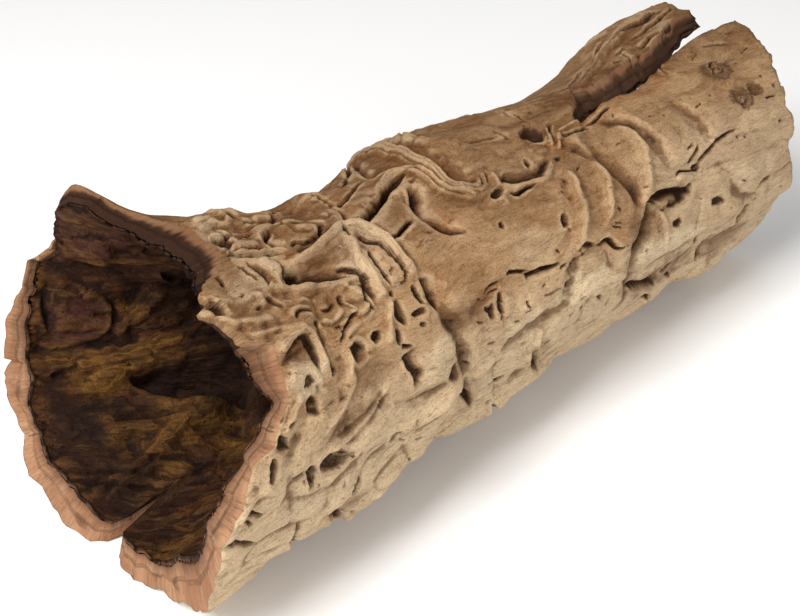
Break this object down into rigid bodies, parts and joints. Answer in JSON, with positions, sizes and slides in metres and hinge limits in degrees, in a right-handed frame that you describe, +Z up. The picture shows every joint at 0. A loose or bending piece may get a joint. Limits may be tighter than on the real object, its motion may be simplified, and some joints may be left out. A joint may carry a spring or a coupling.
{
  "type": "grapewood hide",
  "caption": "Hollow, gnarled length of sandblasted grapevine, open at a wide mouth and a torn far end, split along the top.",
  "frame": {"origin": "middle of the bounding box, on the surface the log rests on", "axes": "+Z up, the wide mouth faces -X, the torn far end faces +X, the side in full view faces -Y"},
  "size_m": [0.373, 0.1506, 0.1478],
  "materials": {
    "sandblasted_wood": "sandblasted, matt, with dark brown crevices and hollow"
  },
  "bodies": {
    "root": {"grapewood_log": "sandblasted_wood"}
  },
  "joints": []
}
